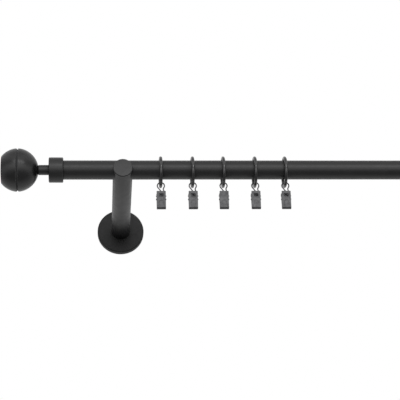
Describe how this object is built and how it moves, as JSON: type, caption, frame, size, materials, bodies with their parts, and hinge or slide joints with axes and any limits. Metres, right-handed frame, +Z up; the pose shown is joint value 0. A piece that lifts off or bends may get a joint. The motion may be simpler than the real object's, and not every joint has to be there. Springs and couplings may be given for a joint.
{
  "type": "curtain rod with brackets",
  "caption": "Round black curtain rod in two round wall brackets with open saddles, ball finials at its ends and wire rings that carry spring clips.",
  "frame": {"origin": "where the left arm's axis meets the wall, which is the centre of the left wall plate's back face", "axes": "+X along the rod to the right as seen from the room, +Y into the wall, +Z up"},
  "size_m": [0.8384, 0.1684, 0.064],
  "materials": {
    "black_metal": "satin black powder coat",
    "black_screw": "blackened steel",
    "zinc_steel": "zinc plated",
    "black_wire": "satin black",
    "hook_wire": "dark nickel wire",
    "clip_steel": "satin gunmetal plating",
    "pin_steel": "blackened steel",
    "spring_steel": "spring steel"
  },
  "bodies": {
    "rod_and_brackets": {"rod": "black_metal", "left_finial_collar": "black_metal", "left_collar_screw": "black_screw", "left_finial_neck": "black_metal", "left_ball_inner_half": "black_metal", "left_ball_outer_half": "black_metal", "left_finial_stud": "zinc_steel", "left_bracket_arm": "black_metal", "left_arm_cap": "black_metal", "left_rosette": "black_metal", "left_wall_plate": "zinc_steel", "left_arm_bolt": "zinc_steel", "right_finial_collar": "black_metal", "right_collar_screw": "black_screw", "right_finial_neck": "black_metal", "right_ball_inner_half": "black_metal", "right_ball_outer_half": "black_metal", "right_finial_stud": "zinc_steel", "right_bracket_arm": "black_metal", "right_arm_cap": "black_metal", "right_rosette": "black_metal", "right_wall_plate": "zinc_steel", "right_arm_bolt": "zinc_steel"},
    "ring_1_body": {"ring_1": "black_wire"},
    "hook_1_body": {"hook_1": "hook_wire"},
    "clip_1_body": {"clip_back_1": "clip_steel", "clip_pin_1": "pin_steel", "clip_spring_1": "spring_steel"},
    "jaw_1_body": {"clip_front_1": "clip_steel"},
    "ring_2_body": {"ring_2": "black_wire"},
    "hook_2_body": {"hook_2": "hook_wire"},
    "clip_2_body": {"clip_back_2": "clip_steel", "clip_pin_2": "pin_steel", "clip_spring_2": "spring_steel"},
    "jaw_2_body": {"clip_front_2": "clip_steel"},
    "ring_3_body": {"ring_3": "black_wire"},
    "hook_3_body": {"hook_3": "hook_wire"},
    "clip_3_body": {"clip_back_3": "clip_steel", "clip_pin_3": "pin_steel", "clip_spring_3": "spring_steel"},
    "jaw_3_body": {"clip_front_3": "clip_steel"},
    "ring_4_body": {"ring_4": "black_wire"},
    "hook_4_body": {"hook_4": "hook_wire"},
    "clip_4_body": {"clip_back_4": "clip_steel", "clip_pin_4": "pin_steel", "clip_spring_4": "spring_steel"},
    "jaw_4_body": {"clip_front_4": "clip_steel"},
    "ring_5_body": {"ring_5": "black_wire"},
    "hook_5_body": {"hook_5": "hook_wire"},
    "clip_5_body": {"clip_back_5": "clip_steel", "clip_pin_5": "pin_steel", "clip_spring_5": "spring_steel"},
    "jaw_5_body": {"clip_front_5": "clip_steel"}
  },
  "joints": [
    {"name": "ring_1_slide", "type": "slide", "parent": "rod_and_brackets", "child": "ring_1_body", "axis": [1, 0, 0], "range_m": [-0.024, 0.009]},
    {"name": "hook_1_swing", "type": "hinge", "parent": "ring_1_body", "child": "hook_1_body", "pos_m": [0.0375, -0.147, -0.0134], "axis": [0, 1, 0], "range_deg": [-15, 15]},
    {"name": "clip_1_swing", "type": "hinge", "parent": "hook_1_body", "child": "clip_1_body", "pos_m": [0.0375, -0.147, -0.0252], "axis": [1, 0, 0], "range_deg": [-6, 6]},
    {"name": "clip_1_jaw", "type": "hinge", "parent": "clip_1_body", "child": "jaw_1_body", "pos_m": [0.0375, -0.147, -0.0289], "axis": [-1, 0, 0], "range_deg": [0, 9], "stiffness_Nm_per_rad": 0.02, "springref_deg": -20.05, "deforming": ["clip_spring_1"]},
    {"name": "ring_2_slide", "type": "slide", "parent": "rod_and_brackets", "child": "ring_2_body", "axis": [1, 0, 0], "range_m": [-0.009, 0.009]},
    {"name": "hook_2_swing", "type": "hinge", "parent": "ring_2_body", "child": "hook_2_body", "pos_m": [0.069, -0.147, -0.0134], "axis": [0, 1, 0], "range_deg": [-15, 15]},
    {"name": "clip_2_swing", "type": "hinge", "parent": "hook_2_body", "child": "clip_2_body", "pos_m": [0.069, -0.147, -0.0252], "axis": [1, 0, 0], "range_deg": [-6, 6]},
    {"name": "clip_2_jaw", "type": "hinge", "parent": "clip_2_body", "child": "jaw_2_body", "pos_m": [0.069, -0.147, -0.0289], "axis": [-1, 0, 0], "range_deg": [0, 9], "stiffness_Nm_per_rad": 0.02, "springref_deg": -20.05, "deforming": ["clip_spring_2"]},
    {"name": "ring_3_slide", "type": "slide", "parent": "rod_and_brackets", "child": "ring_3_body", "axis": [1, 0, 0], "range_m": [-0.009, 0.009]},
    {"name": "hook_3_swing", "type": "hinge", "parent": "ring_3_body", "child": "hook_3_body", "pos_m": [0.0995, -0.147, -0.0134], "axis": [0, 1, 0], "range_deg": [-15, 15]},
    {"name": "clip_3_swing", "type": "hinge", "parent": "hook_3_body", "child": "clip_3_body", "pos_m": [0.0995, -0.147, -0.0252], "axis": [1, 0, 0], "range_deg": [-6, 6]},
    {"name": "clip_3_jaw", "type": "hinge", "parent": "clip_3_body", "child": "jaw_3_body", "pos_m": [0.0995, -0.147, -0.0289], "axis": [1, 0, 0], "range_deg": [0, 9], "stiffness_Nm_per_rad": 0.02, "springref_deg": -20.05, "deforming": ["clip_spring_3"]},
    {"name": "ring_4_slide", "type": "slide", "parent": "rod_and_brackets", "child": "ring_4_body", "axis": [1, 0, 0], "range_m": [-0.009, 0.009]},
    {"name": "hook_4_swing", "type": "hinge", "parent": "ring_4_body", "child": "hook_4_body", "pos_m": [0.131, -0.147, -0.0134], "axis": [0, 1, 0], "range_deg": [-15, 15]},
    {"name": "clip_4_swing", "type": "hinge", "parent": "hook_4_body", "child": "clip_4_body", "pos_m": [0.131, -0.147, -0.0252], "axis": [1, 0, 0], "range_deg": [-6, 6]},
    {"name": "clip_4_jaw", "type": "hinge", "parent": "clip_4_body", "child": "jaw_4_body", "pos_m": [0.131, -0.147, -0.0289], "axis": [-1, 0, 0], "range_deg": [0, 9], "stiffness_Nm_per_rad": 0.02, "springref_deg": -20.05, "deforming": ["clip_spring_4"]},
    {"name": "ring_5_slide", "type": "slide", "parent": "rod_and_brackets", "child": "ring_5_body", "axis": [1, 0, 0], "range_m": [-0.009, 0.42]},
    {"name": "hook_5_swing", "type": "hinge", "parent": "ring_5_body", "child": "hook_5_body", "pos_m": [0.161, -0.147, -0.0134], "axis": [0, 1, 0], "range_deg": [-15, 15]},
    {"name": "clip_5_swing", "type": "hinge", "parent": "hook_5_body", "child": "clip_5_body", "pos_m": [0.161, -0.147, -0.0252], "axis": [1, 0, 0], "range_deg": [-6, 6]},
    {"name": "clip_5_jaw", "type": "hinge", "parent": "clip_5_body", "child": "jaw_5_body", "pos_m": [0.161, -0.147, -0.0289], "axis": [-1, 0, 0], "range_deg": [0, 9], "stiffness_Nm_per_rad": 0.02, "springref_deg": -20.05, "deforming": ["clip_spring_5"]}
  ]
}
